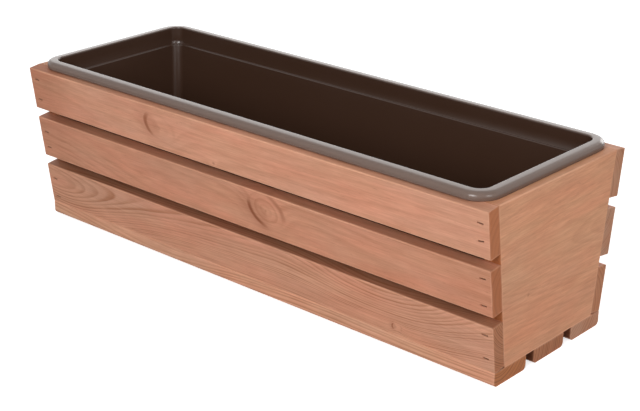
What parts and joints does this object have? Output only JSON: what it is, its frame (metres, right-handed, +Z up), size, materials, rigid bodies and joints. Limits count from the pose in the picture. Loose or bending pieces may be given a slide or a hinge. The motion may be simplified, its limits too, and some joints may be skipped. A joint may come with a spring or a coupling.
{
  "type": "window box planter",
  "caption": "Long slatted wooden window box with outward-leaning walls on floor slats, and a lift-out moulded plastic liner that hangs in it by a rolled rim.",
  "frame": {"origin": "centre of the box's footprint, on the surface that the floor slats stand on", "axes": "+X along the box towards the right end as seen from the front, +Y from the front towards the rear, +Z up"},
  "size_m": [0.62, 0.222, 0.1897],
  "materials": {
    "stained_wood": "planed softwood with a translucent reddish light-brown stain, matt",
    "staple_steel": "dull galvanised wire",
    "liner_plastic": "dark-brown moulded polypropylene, satin to glossy"
  },
  "bodies": {
    "crate": {"end_panel_left": "stained_wood", "end_panel_right": "stained_wood", "front_slat_bottom": "stained_wood", "front_slat_middle": "stained_wood", "front_slat_top": "stained_wood", "rear_slat_bottom": "stained_wood", "rear_slat_middle": "stained_wood", "rear_slat_top": "stained_wood", "floor_slat_front": "stained_wood", "floor_slat_middle": "stained_wood", "floor_slat_rear": "stained_wood", "staples_front_left": "staple_steel", "staples_front_right": "staple_steel", "staples_rear_left": "staple_steel", "staples_rear_right": "staple_steel", "staples_floor_left": "staple_steel", "staples_floor_right": "staple_steel"},
    "liner": {"liner": "liner_plastic"}
  },
  "joints": [
    {"name": "liner_lift", "type": "slide", "parent": "crate", "child": "liner", "axis": [0, 0, 1], "range_m": [0, 0.18]}
  ]
}
